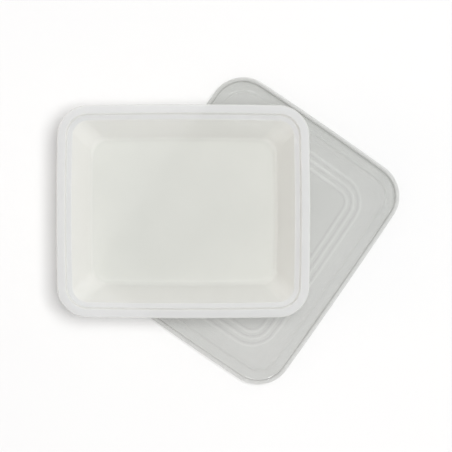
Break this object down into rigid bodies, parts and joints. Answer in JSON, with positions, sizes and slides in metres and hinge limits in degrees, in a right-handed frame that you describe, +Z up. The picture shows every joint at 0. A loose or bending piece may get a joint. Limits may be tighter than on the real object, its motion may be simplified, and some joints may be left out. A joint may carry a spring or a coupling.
{
  "type": "rectangular plastic tub with press-on lid",
  "caption": "Shallow rectangular tub of milky plastic with sloping walls and a flanged rim, standing on its clear press-on lid, which lies upside down and turned.",
  "frame": {"origin": "on the table, under the middle of the laid-out set's bounding box", "axes": "+X along the tub's long side, +Y along its short side, +Z up out of the tub"},
  "size_m": [0.2862, 0.2584, 0.0531],
  "materials": {
    "milky_plastic": "satin, lets light through",
    "clear_plastic": "clear with a grey cast, glossy"
  },
  "bodies": {
    "lid": {"lid": "clear_plastic"},
    "tub": {"tub": "milky_plastic"}
  },
  "joints": [
    {"name": "tub_lift", "type": "slide", "parent": "lid", "child": "tub", "axis": [0, 0, 1], "range_m": [0, 0.06]}
  ]
}
